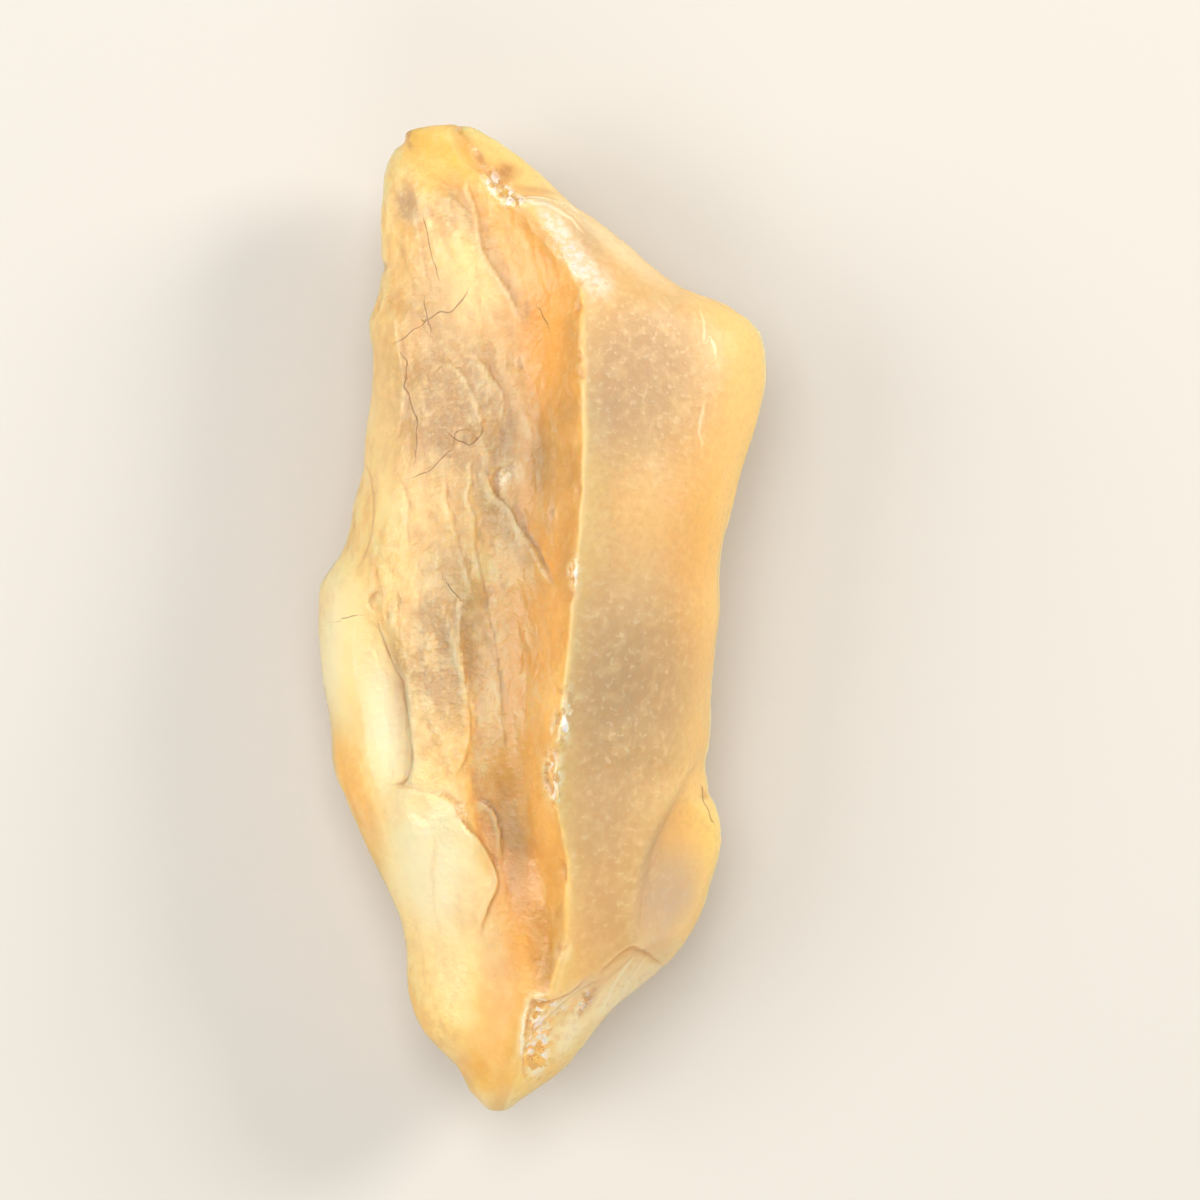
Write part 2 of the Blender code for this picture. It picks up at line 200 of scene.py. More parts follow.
# Hairline cracks in the glass, as points (x, y) on the face. Branches are noted apart, so
# that both lines show where they cross. The crack's width is in mm.
CRACKS = {
    "forked_long": [(-7.35, 13.75), (-5.8, 14.8), (-5.0, 15.3), (-4.4, 15.4), (-3.85, 15.9),
                    (-3.45, 16.6)],
    "high_slit": [(-5.8, 20.3), (-5.5, 18.7), (-4.9, 16.8)],
    "amber_slit": [(0.0, 15.4), (0.3, 14.9), (0.4, 14.6)],
    "side_wander": [(-7.1, 13.75), (-6.7, 12.9), (-6.6, 11.5), (-6.1, 9.95), (-6.1, 8.4),
                    (-6.2, 7.5)],
    "mid_slant": [(-6.3, 7.05), (-5.6, 7.3), (-5.0, 7.8), (-4.4, 8.4)],
    "mid_hook": [(-4.6, 9.3), (-3.85, 8.8), (-3.45, 8.6), (-2.9, 9.1), (-2.8, 9.55)],
    "waist_nick": [(-4.5, 1.7), (-4.05, 1.1)],
    "bulge_nick": [(-9.9, -0.05), (-9.3, 0.1)],
    "right_crease": [(8.2, -8.5), (8.45, -9.4), (8.75, -10.3)],
    "tip_nick": [(-7.0, 24.3), (-6.5, 24.6)],
}
CRACK_BRANCHES = {
    "forked_short": [(-5.7, 15.9), (-5.6, 15.2), (-5.4, 14.3)],
    "forked_twig": [(-5.75, 14.9), (-5.5, 14.6)],
    "hook_twig": [(-4.25, 8.9), (-4.15, 9.3), (-3.9, 9.4)],
}
CRACK_WIDTH = 0.045

# Thin bright flow lines and scratches, as (strength, points on the face).
BRIGHT_LINES = {
    "top_flow": (1.0, [(-1.3, 21.1), (-0.2, 21.1), (1.0, 20.8), (1.9, 20.2), (2.5, 19.7)]),
    "top_flow_low": (0.7, [(-1.0, 20.8), (0.6, 20.4), (1.6, 19.8), (2.2, 19.2)]),
    "shoulder_high": (0.4, [(8.1, 15.3), (8.2, 14.6), (8.2, 14.0)]),
    "shoulder_scratch": (0.6, [(8.6, 13.8), (8.75, 13.2)]),
    "shoulder_low": (0.4, [(8.2, 10.6), (8.0, 9.6), (8.1, 8.5)]),
    "foot_chip_rim": (0.9, [(-0.5, -19.3), (-0.8, -20.6), (-0.95, -22.3)]),
    "plate_streak": (0.9, [(2.9, -20.2), (3.7, -18.6), (4.9, -16.8)]),
    "plate_streak_low": (0.6, [(3.3, -20.4), (4.3, -18.7), (5.5, -17.0)]),
}


def smooth_step(low, high, value):
    t = np.clip((value - low) / (high - low), 0, 1)
    return t * t * (3 - 2 * t)


def rumple(points, *sizes):
    """Smooth noise from about -1 to 1 at each point. The sizes of its lumps are in mm."""
    scaled = points / np.array(sizes)
    return np.array([noise.noise(place) for place in scaled.tolist()])


def along_flow(points, lean):
    """The points turned about Z, so that +Y runs along folds that lean by an angle in degrees."""
    turn = math.radians(lean)
    across = points[:, 0] * math.cos(turn) + points[:, 1] * math.sin(turn)
    along = points[:, 1] * math.cos(turn) - points[:, 0] * math.sin(turn)
    return np.stack([across, along, points[:, 2]], axis=1)


def rough(points, size, octaves=4):
    """Noise with finer noise upon it. The size of its largest lumps is in mm."""
    scaled = (points / size).tolist()
    return np.array([noise.fractal(place, 1.0, 2.0, octaves) for place in scaled])


def curved(line, steps=8):
    """The points of a smooth curve through the points of a line."""
    line = [Vector(point) for point in line]
    ends = [2 * line[0] - line[1], *line, 2 * line[-1] - line[-2]]
    points = []
    for a, b, c, d in zip(ends, ends[1:], ends[2:], ends[3:]):
        for k in range(steps):
            t = k / steps
            points.append(
                0.5 * (2 * b + (c - a) * t + (2 * a - 5 * b + 4 * c - d) * t**2
                       + (3 * b - a - 3 * c + d) * t**3)
            )
    return np.array([*points, line[-1]])


# How far from a curve its nearer stretches still count for how far along it a point lies.
SHARE_SPREAD = 0.22


def beside(points, line):
    """Each point's distance from a curve on the face, and how far along the curve it lies.

    The distance is positive on the left of the way the curve runs. The second is 0 to 1.
    """
    xy = points[:, :2]
    line = curved(line)
    spans = line[1:] - line[:-1]
    lengths = np.linalg.norm(spans, axis=1)
    travelled = np.concatenate(([0.0], np.cumsum(lengths)))
    nearest = np.full(len(xy), np.inf)
    side = np.ones(len(xy))
    share = np.zeros(len(xy))
    weights = np.full(len(xy), 1e-30)
    for start, span, length, before in zip(line, spans, lengths, travelled):
        offset = xy - start
        t = np.clip(offset @ span / length**2, 0, 1)
        away = np.linalg.norm(offset - t[:, None] * span, axis=1)
        turn = span[0] * offset[:, 1] - span[1] * offset[:, 0]
        side = np.where(away < nearest, np.where(turn < 0, -1.0, 1.0), side)
        nearest = np.minimum(nearest, away)
        weight = np.exp(-away / SHARE_SPREAD)
        share += weight * (before + t * length) / travelled[-1]
        weights += weight
    return nearest * side, share / weights


def along_middle(share, tail):
    """1 along a curve's middle, falling to nothing over the tail at each end."""
    return smooth_step(0, tail, share) * smooth_step(0, tail, 1 - share)


class Skin:
    """The shard's skin as arrays: places in mm, normals, and masks that say which part is which."""

    def __init__(self, mesh):
        count = len(mesh.vertices)
        self.places = np.empty(count * 3)
        mesh.vertices.foreach_get("co", self.places)
        self.places = self.places.reshape(-1, 3)
        self.normals = np.empty(count * 3)
        mesh.vertices.foreach_get("normal", self.normals)
        self.normals = self.normals.reshape(-1, 3)
        self.edges = np.empty(len(mesh.edges) * 2, int)
        mesh.edges.foreach_get("vertices", self.edges)
        self.edges = self.edges.reshape(-1, 2)
        x, y = self.places[:, 0], self.places[:, 1]
        ridge = np.array(sorted(RIDGE, key=lambda point: point[1]))
        self.past_ridge = x - np.interp(y, ridge[:, 1], ridge[:, 0])
        self.face = smooth_step(*FACE_LOOKS_UP, self.normals[:, 2])
        self.right = self.face * smooth_step(*RIDGE_FADE, self.past_ridge)
        self.left = self.face * smooth_step(*RIDGE_FADE, -self.past_ridge)
        self.above_rest = smooth_step(*REST_FADE, self.places[:, 2])

    def blurred(self, values, rounds):
        """Values evened out between each point and its neighbours."""
        a, b = self.edges.T
        count = len(values)
        degree = np.bincount(a, minlength=count) + np.bincount(b, minlength=count)
        for _ in range(rounds):
            total = np.bincount(a, values[b], count) + np.bincount(b, values[a], count)
            values = 0.2 * values + 0.8 * total / degree
        return values

    def heights_beside_ridge(self, middle, reach):
        """Heights of the face in a band beside the ridge, as a function of y."""
        band = (np.abs(self.past_ridge - middle) < reach) & (self.face > 0.3)
        rows = np.round(self.places[band, 1] / ROW).astype(int)
        rows -= rows.min()
        counts = np.maximum(np.bincount(rows), 1)
        height = np.bincount(rows, self.places[band, 2]) / counts
        y = np.bincount(rows, self.places[band, 1]) / counts
        return lambda where: np.interp(where, y, height)

    def round_ridge_foot(self):
        """Fills the foot of the ridge, so that its left flank runs out in one hollow curve."""
        y = self.places[:, 1]
        crest = self.heights_beside_ridge(0.0, CREST_BAND)(y)
        plateau = self.heights_beside_ridge(-FLANK_WIDTH, PLATEAU_BAND)(y)
        t = np.clip(-self.past_ridge / FLANK_WIDTH, 0, 1)
        slope = plateau + (crest - plateau) * (1 - t) ** FLANK_HOLLOW
        share = smooth_step(*FLANK_FOOT, y) * smooth_step(*FLANK_TOP, y)
        share *= FLANK_LEAST + (1 - FLANK_LEAST) * smooth_step(*FLANK_GROWS, y)
        share *= self.face * (self.past_ridge < 0)
        share *= smooth_step(*FLANK_EDGE, self.past_ridge + FLANK_WIDTH)
        height = self.places[:, 2]
        height += share * np.maximum(0, slope - height)
        even = smooth_step(*FLANK_EVENED, self.past_ridge)
        height += share * even * (self.blurred(height, FLANK_ROUNDS) - height)


def flakes(points, lean, size, length, height):
    """Thin flakes that overlap like shingles. Their edges run along, leaning by an angle."""
    turned = along_flow(points, lean)
    level = 1.6 * rumple(turned, size, length, size)
    level += 0.5 * rumple(turned, size / 2.6, length / 3, size)
    level += turned[:, 0] / size * 0.55
    part = level - np.floor(level)
    return height * (smooth_step(0.80, 1.0, part) - part)


def turned_oval(points, x, y, half_width, half_length, heading):
    """Each point's distance from a place, where 1 is the edge of a turned oval around it.

    The heading turns the oval's length clockwise from +Y, seen from the face.
    """
    turn = math.radians(heading)
    dx, dy = points[:, 0] - x, points[:, 1] - y
    across = (dx * math.cos(turn) - dy * math.sin(turn)) / half_width
    along = (dy * math.cos(turn) + dx * math.sin(turn)) / half_length
    return np.sqrt(across**2 + along**2)


def chip(points, x, y, half_width, half_length, heading):
    """A struck hollow with a crisp edge on one side, and fading out on the other."""
    away = turned_oval(points, x, y, half_width, half_length, heading)
    lean = 0.5 + 0.5 * np.clip((x - points[:, 0]) / half_width, -1, 1)
    return smooth_step(1.1, 0.85, away) * lean


def left_relief(skin):
    """Overlapping flakes and fine flow on the left face, and smooth lobes low down."""
    p = skin.places
    lobes = smooth_step(*LOBES_START, p[:, 1])
    flaky = skin.left * (1 - lobes) * smooth_step(*FLAKY_TIP, p[:, 1])
    flaky = flaky * (0.35 + 0.65 * smooth_step(-1.0, -3.0, skin.past_ridge))
    flaky = flaky * (1 - 0.8 * stain(p, CREAMY))
    height = np.zeros(len(p))
    for shift, lean, size, length, tall in FLAKES.values():
        height += flaky * flakes(p + shift, lean, size, length, tall)
    tall, sizes = FLOW_RELIEF
    height += flaky * tall * rough(along_flow(p, FLOW_LEAN) / sizes, 1.0)
    tall, size = FLAKY_ROUGHNESS
    height += flaky * tall * rough(p, size)
    tall, sizes = LOBE_RELIEF
    return height + skin.left * lobes * tall * rumple(p, *sizes)


def right_relief(skin):
    """Shallow swells and a frosted roughness on the right face."""
    tall, sizes = RIGHT_RELIEF
    height = skin.right * tall * rumple(skin.places, *sizes)
    tall, size = RIGHT_ROUGHNESS
    return height + skin.right * tall * rough(skin.places + 5.0, size)


def back_relief(skin):
    """Broad worn swells and hollows on the back and the sides."""
    p = skin.places
    back = 1 - skin.face
    tall, sizes = BACK_RELIEF
    height = back * tall * rumple(p, *sizes)
    deep, sizes = BACK_HOLLOWS
    height -= back * deep * np.maximum(0, rumple(p + 31.0, *sizes) - 0.15)
    tall, sizes = BACK_ROUGHNESS
    return height + back * tall * rough(along_flow(p, 20) / sizes, 1.0)


def ledges(skin):
    """Steps with a sharp riser, whose high side falls away again."""
    away_from_rim = smooth_step(*LEFT_RIM_FADE, skin.past_ridge - LEFT_RIM)
    height = np.zeros(len(skin.places))
    for tall, riser, fade, line in LEDGES.values():
        side, share = beside(skin.places, line)
        scarp = smooth_step(-riser / 2, riser / 2, side) * np.exp(-np.maximum(side, 0) / fade)
        height += skin.face * tall * scarp * along_middle(share, LEDGE_TAIL) * away_from_rim
    return height


def chips_and_nicks(skin):
    """How deep the small chips of the face and the nicks of the outline go."""
    p = skin.places
    depth = np.zeros(len(p))
    for x, y, half_width, half_length, heading, deep in CHIPS.values():
        depth += deep * chip(p, x, y, half_width, half_length, heading) * skin.face
    for x, y, radius, deep in EDGE_NICKS.values():
        depth += deep * np.exp(-turned_oval(p, x, y, radius, radius, 0) ** 2)
    return depth


def ridge_nibbles(skin):
    """How deep the worn bites along the ridge go."""
    deep, sizes = RIDGE_NIBBLES
    nibbled = np.exp(-(((skin.past_ridge + 0.12) / 0.30) ** 2)) * skin.face
    return nibbled * deep * np.maximum(0, rumple(skin.places, *sizes) - 0.08)


def face_relief(skin):
    """How far each point of the skin stands proud of the solid's smooth form, in mm."""
    height = left_relief(skin) + right_relief(skin) + back_relief(skin)
    height += ledges(skin) - chips_and_nicks(skin) - ridge_nibbles(skin)
    tall, size = SPARKLY_RELIEF
    sparkly = stain(skin.places, SPARKLY) * skin.face
    height += sparkly * tall * (np.abs(rough(skin.places, size)) - 0.3)
    return height * skin.above_rest


def finely_remade(node):
    """A mesh in mm of a node's form, merged and remade in even small cells."""
    bm = bmesh.new()
    bm.from_mesh(node.data)
    bmesh.ops.scale(bm, vec=(1 / MM,) * 3, verts=bm.verts)
    bmesh.ops.remove_doubles(bm, verts=bm.verts, dist=MM)
    mesh = bpy.data.meshes.new("skin")
    bm.to_mesh(mesh)
    bm.free()
    obj = bpy.data.objects.new("skin", mesh)
    bpy.context.scene.collection.objects.link(obj)
    remesh = obj.modifiers.new("cells", "REMESH")
    remesh.mode = "VOXEL"
    remesh.voxel_size = SKIN_CELL
    bpy.context.view_layer.update()
    shaped = obj.evaluated_get(bpy.context.evaluated_depsgraph_get())
    remade = bpy.data.meshes.new_from_object(shaped)
    bpy.data.objects.remove(obj)
    bm = bmesh.new()
    bm.from_mesh(remade)
    axes = {"use_axis_x": True, "use_axis_y": True, "use_axis_z": True}
    for _ in range(SKIN_SMOOTHING):
        bmesh.ops.smooth_vert(bm, verts=bm.verts, factor=SMOOTHING_SHARE, **axes)
    bm.to_mesh(remade)
    bm.free()
    return remade


# A height above or below the whole shard, in mm.
CLEAR_OF_SHARD = 40.0


def thickness(skin, mesh):
    """How thick the shard is at each point of its skin, straight through from its face, in mm."""
    faces = [tuple(face.vertices) for face in mesh.polygons]
    tree = BVHTree.FromPolygons(skin.places.tolist(), faces)
    down = Vector((0, 0, -1))
    depths = []
    for x, y, _ in skin.places.tolist():
        top = tree.ray_cast(Vector((x, y, CLEAR_OF_SHARD)), down)[0]
        bottom = tree.ray_cast(Vector((x, y, -CLEAR_OF_SHARD)), -down)[0]
        depths.append(top.z - bottom.z if top and bottom else 0.0)
    return skin.blurred(np.array(depths), 3)


def stain(points, patches):
    """How strongly any of the patches colours each point, from 0 to 1."""
    clear = np.ones(len(points))
    for *oval, strength in patches.values():
        clear *= 1 - strength * np.exp(-turned_oval(points, *oval) ** 3)
    return 1 - clear


def note(mesh, name, values):
    attribute = mesh.attributes.new(name, "FLOAT", "POINT")
    attribute.data.foreach_set("value", np.asarray(values, np.float32))


# Thin lines waver: by how much, and over what distance. Points far from any line get FAR_OFF.
WAVER = 0.12
WAVER_SIZE = 0.6
FAR_OFF = 9.0


def line_notes(skin, mesh, name, lines):
    """Which side of the nearest line each point lies on, and how strongly that line shows.

    The lines are (strength, points), and a line fades out at its ends.
    """
    side = np.full(len(skin.places), FAR_OFF)
    strength = np.zeros(len(skin.places))
    waver = WAVER * rumple(skin.places, WAVER_SIZE)
    for strong, line in lines:
        away, share = beside(skin.places, line)
        away = away + waver
        nearer = np.abs(away) < np.abs(side)
        side = np.where(nearer, away, side)
        strength = np.where(nearer, strong * along_middle(share, LINE_TAIL), strength)
    note(mesh, name + "_side", side)
    note(mesh, name + "_strength", strength * skin.face)


def patch_notes(skin, mesh):
    """Notes how strongly each kind of patch shows on the skin."""
    struck = {name: (*oval, 1.0) for name, (*oval, _) in CHIPS.items()}
    kinds = {
        "smoky": (SMOKY, skin.left), "slaty": (SLATY, skin.face), "pearly": (PEARLY, skin.face),
        "shadowy": (SHADOWY, skin.left), "ambery": (AMBERY, skin.face),
        "brown": (BROWN_SPOTS, skin.face), "creamy": (CREAMY, skin.left),
        "gleam": (GLEAM, skin.face), "chipped": (struck, skin.face),
        "greyish": (GREYISH, skin.right), "pale": (PALE_PATCHES, skin.face),
        "sparkly": (SPARKLY, skin.face),
    }
    for name, (patches, side) in kinds.items():
        note(mesh, name, stain(skin.places, patches) * side)


def shard(node):
    """The whole shard, as one finely made piece of glass."""
    mesh = finely_remade(node)
    skin = Skin(mesh)
    depth = thickness(skin, mesh)
    skin.round_ridge_foot()
    relief = face_relief(skin)
    places = skin.places + skin.normals * relief[:, None]
    places[:, 2] = np.maximum(places[:, 2], 0.0)
    mesh.vertices.foreach_set("co", (places * MM).ravel())
    note(mesh, "proud", relief - skin.blurred(relief, 6))
    note(mesh, "depth", depth)
    note(mesh, "right_face", skin.right)
    note(mesh, "left_face", skin.left)
    note(mesh, "past_ridge", skin.past_ridge)
    patch_notes(skin, mesh)
    note(mesh, "clouds", rough(skin.places, CLOUD_SIZE, 3))
    note(mesh, "mottle", rough(skin.places + 20, MOTTLE_SIZE, 3))
    note(mesh, "streaks", rough(along_flow(skin.places, FLOW_LEAN) / STREAK_SIZES, 1.0, 5))
    folds = [(min(1, tall / riser), line) for tall, riser, _, line in LEDGES.values()]
    line_notes(skin, mesh, "crease", folds)
    line_notes(skin, mesh, "crack", [(1, line) for line in CRACKS.values()])
    line_notes(skin, mesh, "branch", [(1, line) for line in CRACK_BRANCHES.values()])
    line_notes(skin, mesh, "bright", BRIGHT_LINES.values())
    mesh.update()
    mesh.shade_smooth()
    piece = bpy.data.objects.new("glass_skin", mesh)
    bpy.context.scene.collection.objects.link(piece)
    return piece


class Number:
    """A number that changes over a surface. Sums on it add Math nodes to its material."""

    def __init__(self, finish, socket):
        self.finish = finish
        self.socket = socket

    def math(self, operation, *values):
        settings = {"operation": operation}
        return self.finish.add("ShaderNodeMath", settings, dict(enumerate(values)))

    def __add__(self, other):
        return self.math("ADD", self, other)

    def __sub__(self, other):
        return self.math("SUBTRACT", self, other)

    def __mul__(self, other):
        return self.math("MULTIPLY", self, other)

    def __rsub__(self, other):
        return self.math("SUBTRACT", other, self)

    def __abs__(self):
        return self.math("ABSOLUTE", self)

    __radd__ = __add__
    __rmul__ = __mul__

    def between(self, low, high):
        """0 at low and below, 1 at high and above, and smooth from one to the other."""
        settings = {"interpolation_type": "SMOOTHSTEP"}
        return self.finish.add("ShaderNodeMapRange", settings, {0: self, 1: low, 2: high})


class Finish:
    """A material in the making. add() makes any node and gives its output as a Number."""

    def __init__(self, name):
        self.material = bpy.data.materials.new(name)
        self.material.use_nodes = True
        self.tree = self.material.node_tree
        self.tree.nodes.clear()

    def add(self, kind, settings=None, inputs=None, output=0):
        node = self.tree.nodes.new(kind)
        for name, value in (settings or {}).items():
            setattr(node, name, value)
        for name, value in (inputs or {}).items():
            if isinstance(value, Number):
                self.tree.links.new(value.socket, node.inputs[name])
            else:
                node.inputs[name].default_value = value
        return Number(self, node.outputs[output]) if node.outputs else None

    def attribute(self, name):
        return self.add("ShaderNodeAttribute", {"attribute_name": name}, output="Fac")

    def noise(self, place, scale, detail):
        """Noise from 0 to 1. The scale is how many of its lumps there are in a millimetre."""
        inputs = {"Vector": place, "Scale": scale, "Detail": detail}
        return self.add("ShaderNodeTexNoise", {}, inputs)

    def blend(self, share, start, end):
        """A colour from start to end by share."""
        settings = {"data_type": "RGBA", "blend_type": "MIX"}
        return self.add("ShaderNodeMix", settings, {0: share, 6: start, 7: end}, output=2)


# The colours of the glass and of what marks it.
HONEY = (0.98, 0.68, 0.26, 1)
CREAM = (1.0, 0.88, 0.53, 1)
AMBER = (0.90, 0.49, 0.10, 1)
FROST = (0.54, 0.39, 0.22, 1)
MAUVE = (0.42, 0.285, 0.15, 1)
SLATE = (0.40, 0.33, 0.25, 1)
PEARL = (0.56, 0.48, 0.40, 1)
# Partly the paler tint of thin glass and partly a painted glow at the thin rim.
RIM_TINT_AND_GLOW = (1.0, 0.84, 0.46, 1)
PALE = (1.0, 0.95, 0.71, 1)
# The white of painted highlights.
PAINTED_HIGHLIGHT_WHITE = (1.0, 0.96, 0.93, 1)
SHADE = (0.52, 0.31, 0.09, 1)
# Dark flecks and streaks, and painted shade in the hollows of the relief.
CREASE = (0.60, 0.38, 0.17, 1)
# Painted shade in the creases and on the chips' dark facets, and brown stains and shadows.
CREASE_BROWN = (0.48, 0.26, 0.10, 1)
CRACK_BROWN = (0.22, 0.10, 0.03, 1)

# Patches in the glass, as (x, y, half width, half length, heading in degrees, strength). Each
# table is one kind of patch; this first one is mauve clouds on the left face, and its lobe_shadow
# is painted shade.
SMOKY = {
    "upper_mauve": (-4.7, 10.6, 3.2, 4.8, -20, 1.0),
    "tip_mauve": (-4.2, 20.6, 1.2, 1.6, -20, 0.8),
    "diagonal_band": (-2.3, 18.0, 0.6, 3.4, -28, 0.7),
    "upper_left": (-5.9, 17.4, 1.7, 3.2, 0, 0.5),
    "upper_mauve_right": (-2.5, 11.2, 1.2, 3.0, -12, 0.45),
    "trough_streak": (-1.5, 4.4, 0.7, 3.0, -32, 0.6),
    "smoky_oval": (0.35, 7.7, 0.75, 1.4, -8, 0.45),
    "waist_mauve": (-5.0, -1.4, 2.0, 4.8, 6, 1.0),
    "waist_core": (-5.5, -0.8, 1.2, 2.2, 0, 0.35),
    # Painted shade below the lobe, laid on in mauve.
    "lobe_shadow": (-3.3, -14.6, 0.8, 2.2, -14, 0.3),
}

# Slate grey glass.
SLATY = {
    "waist": (-5.3, -2.0, 1.8, 4.0, 6, 0.3),
    "corner_grey": (-6.55, 20.9, 0.65, 1.1, -20, 1.0),
    "corner_grey_foot": (-6.2, 20.4, 0.75, 0.55, 0, 1.0),
}

# A light grey haze.
PEARLY = {
    "low_spot": (6.5, -13.9, 1.5, 2.4, 14, 0.9),
    "low_spot_foot": (5.6, -16.2, 1.2, 0.9, 40, 0.35),
    "below_lobe": (-2.0, -17.4, 0.9, 2.8, -8, 0.35),
    "valley_haze": (-1.2, -11.6, 0.8, 3.0, -6, 0.35),
}

# Deeper amber.
AMBERY = {
    "lower_left_edge": (-9.6, -8.8, 1.0, 4.2, -18, 0.9),
    "flank_top": (0.6, 13.0, 1.2, 4.5, -6, 0.7),
    "foot_left_edge": (-6.4, -20.0, 0.7, 3.6, -24, 0.7),
    "tip": (-4.6, 23.3, 2.0, 1.0, 0, 0.5),
    "right_shoulder": (7.4, 3.0, 1.3, 6.5, 8, 0.7),
    "foot_middle": (-2.4, -21.6, 1.2, 2.6, 0, 0.35),
    "low_right_facet": (6.9, -10.4, 1.2, 1.8, 10, 0.3),
    "foot_chip_hollow": (0.1, -22.1, 0.8, 1.2, 20, 0.6),
}

# Brown shade in the hollows of the left face.
SHADOWY = {
    "flank_dark": (1.1, 7.6, 1.2, 4.2, 0, 0.8),
    "valley": (-0.9, -10.6, 1.7, 4.8, -6, 0.15),
    "below_plateau": (-1.7, 14.0, 0.7, 3.0, -18, 0.35),
    "valley_foot": (0.2, -16.2, 0.8, 3.0, 2, 0.5),
}

# Small brown stains and shadows.
BROWN_SPOTS = {
    "top_chip_spot": (-1.7, 22.5, 0.6, 0.5, 0, 0.9),
    "top_flow_shadow": (-0.1, 21.5, 0.2, 1.3, 98, 0.5),
    "tip_mark": (-6.65, 24.3, 0.14, 0.32, 35, 0.9),
    "tip_mark_low": (-6.55, 23.85, 0.12, 0.28, -30, 0.8),
    "foot_crackle": (2.5, -19.2, 0.28, 0.9, 25, 0.6),
    "arrow_shadow": (-2.5, 7.4, 0.22, 0.9, 20, 0.4),
}

# Cream parts of the left face.
CREAMY = {
    "left_band": (-7.6, 9.0, 1.6, 5.5, -5, 0.6),
    "bulge": (-9.9, -2.0, 1.5, 5.0, 4, 1.0),
    "leaf": (-7.9, -5.0, 1.1, 4.2, -9, 0.9),
    "upper_lobe": (-5.6, -12.4, 2.6, 4.2, -12, 1.0),
    "lower_lobe": (-3.9, -17.6, 2.0, 4.2, -8, 0.35),
    "top_plateau": (-4.0, 16.2, 2.2, 2.2, 0, 0.4),
}

# Fresh breaks: rougher relief, a glossier coat and painted glints.
SPARKLY = {
    "top_chip_rim": (-2.0, 21.7, 0.55, 1.3, -42, 1.0),
    "top_chip_corner": (-1.2, 20.9, 0.8, 0.35, 0, 0.9),
    "foot_chip_rim": (-0.1, -21.2, 0.6, 2.1, 4, 1.0),
    "foot_chip_body": (0.7, -21.2, 1.1, 2.2, 25, 0.35),
    "foot_chip_top": (0.7, -19.4, 0.9, 0.5, 20, 0.8),
    "foot_crackle": (2.3, -19.3, 0.4, 1.1, 25, 1.0),
    "ridge_middle": (1.35, -5.0, 0.30, 1.6, 8, 0.9),
    "ridge_low": (0.75, -7.9, 0.40, 1.3, -4, 1.0),
    "ridge_waist": (1.75, 2.2, 0.30, 0.8, 0, 0.8),
    "arrow_rim": (-1.7, 7.1, 0.35, 0.5, 0, 0.5),
}

# The gleaming bevel below the slanted top: a glossier coat and a painted highlight.
GLEAM = {
    "bevel_top": (0.85, 19.4, 0.50, 1.3, -38, 0.9),
    "bevel_low": (2.05, 17.7, 0.62, 1.5, -38, 1.0),
    "bevel_foot": (3.0, 16.6, 0.7, 0.8, -38, 0.6),
}

# Pale glass, much of it painted light: painted highlights on the leaf and the lobes, painted light
# on the foot's plate and chips, and a painted glow along the bulge's edge and the slanted rim.
PALE_PATCHES = {
    "leaf": (-7.6, -5.2, 1.1, 3.6, -9, 1.0),
    "bulge_edge": (-10.6, -1.8, 0.7, 4.4, 2, 0.7),
    "upper_lobe": (-5.2, -12.4, 1.9, 3.4, -12, 1.0),
    "lower_lobe": (-4.4, -17.2, 0.8, 2.4, -8, 0.3),
    "foot_plate": (4.2, -18.8, 1.4, 3.6, 52, 0.8),
    "foot_blade": (1.5, -18.95, 0.35, 1.7, 49, 1.0),
    "foot_chip": (1.3, -20.9, 0.7, 1.6, 28, 0.7),
    "tip_of_foot": (-2.0, -24.6, 1.6, 0.8, 0, 0.5),
    "slanted_rim": (3.4, 18.9, 0.7, 4.5, -52, 0.6),
}

# Frosted parts of the right face.
GREYISH = {
    "bevel_frost": (2.2, 19.1, 0.6, 1.9, -40, 0.7),
    "upper_frost": (4.9, 12.0, 3.9, 4.4, 0, 1.0),
    "middle_frost": (4.6, -3.2, 3.6, 6.0, 4, 0.9),
    "low_frost": (3.6, -12.5, 2.4, 4.6, 0, 0.7),
    "low_spot": (6.7, -13.8, 1.5, 2.3, 14, 0.3),
}


# The glass inside: how clear it is, how far and in what colour light scatters in it, and how
# it tints the light that goes through.
GLASS_INDEX = 1.46
CLEARNESS = 0.55
SCATTER_REACH = 0.006
SCATTER_COLOUR = (1.0, 0.66, 0.36)
TINT = (0.99, 0.86, 0.55, 1)
TINT_DENSITY = 35

# Its surface: grain and glints in a millimetre, how high they stand in metres, how rough it
# is, and how strongly its gleaming and sparkling parts shine.
GRAIN_PER_MM = 3.2
GLINTS_PER_MM = 3.6
GRAIN_HEIGHT = 0.00007
GLINT_HEIGHT = 0.0003
BUMP_STRENGTH = 0.6
ROUGHNESS = 0.34
FROSTED_ROUGHNESS = 0.14
SHINE = 0.8
SHINE_ROUGHNESS = 0.12

# Bands and thin lines: where each starts to change and where it has changed, as the
# thickness of the glass or as distances from the ridge or the line, in mm.
RIM_GLOW_DEPTH = (0.0, 1.3)
FLANK_BAND = (-4.6, -2.4)
RIDGE_FOOT_BAND = (-1.5, -0.3)
DEEP_FROST = (4.2, 7.5)
CREST_LINE = (0.08, 0.30)
OFF_CREST = (0.1, 0.5)
CREASE_LINE = (0.02, 0.11)
BRIGHT_LINE = (0.03, 0.10)

# How far a spot stands proud of the skin around it, or lies below it, before it shows as a painted
# highlight or painted shade.
PROUD = (0.008, 0.05)


